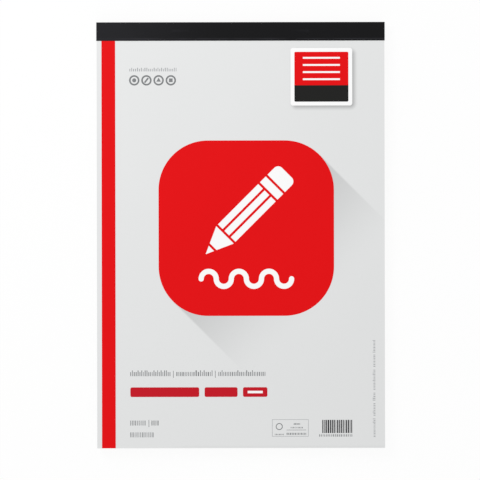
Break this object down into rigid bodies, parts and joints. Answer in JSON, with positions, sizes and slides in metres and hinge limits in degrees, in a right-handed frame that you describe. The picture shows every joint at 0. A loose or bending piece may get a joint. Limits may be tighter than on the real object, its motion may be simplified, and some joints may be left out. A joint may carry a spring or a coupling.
{
  "type": "legal pad",
  "caption": "Top-bound A4 writing pad: perforated sheets between a greyboard back and a folding card cover, stapled and taped at the head.",
  "frame": {"origin": "under the middle of the pad's bounding box, on the surface that the pad lies on", "axes": "+X across the pad to the right as the cover is read, +Y up the pad to its bound head, +Z out of the front cover"},
  "size_m": [0.2106, 0.311, 0.0104],
  "materials": {
    "sheet_paper": "uncoated, smooth",
    "greyboard": "uncoated, fibrous",
    "cover_card": "coated in front, satin",
    "tape_cloth": "black paper-backed cloth, fine grain",
    "staple_wire": "zinc-plated wire",
    "red_ink": "printed, satin",
    "white_ink": "printed, satin",
    "black_ink": "printed, satin",
    "rule_ink": "printed lines"
  },
  "bodies": {
    "pad": {"page_block": "sheet_paper", "backing_board": "greyboard", "cover_stub": "cover_card", "binding_tape": "tape_cloth", "staple_left": "staple_wire", "staple_right": "staple_wire", "ruling_print": "rule_ink"},
    "cover": {"front_cover": "cover_card", "stripe_print": "red_ink", "emblem_red_print": "red_ink", "emblem_white_print": "white_ink", "label_white_print": "white_ink", "label_red_print": "red_ink", "label_black_print": "black_ink", "title_red_print": "red_ink", "title_white_print": "white_ink"}
  },
  "joints": [
    {"name": "cover_hinge", "type": "hinge", "parent": "pad", "child": "cover", "pos_m": [0, 0.1418, 0.01033], "axis": [-1, 0, 0], "range_deg": [0, 179.9]}
  ]
}
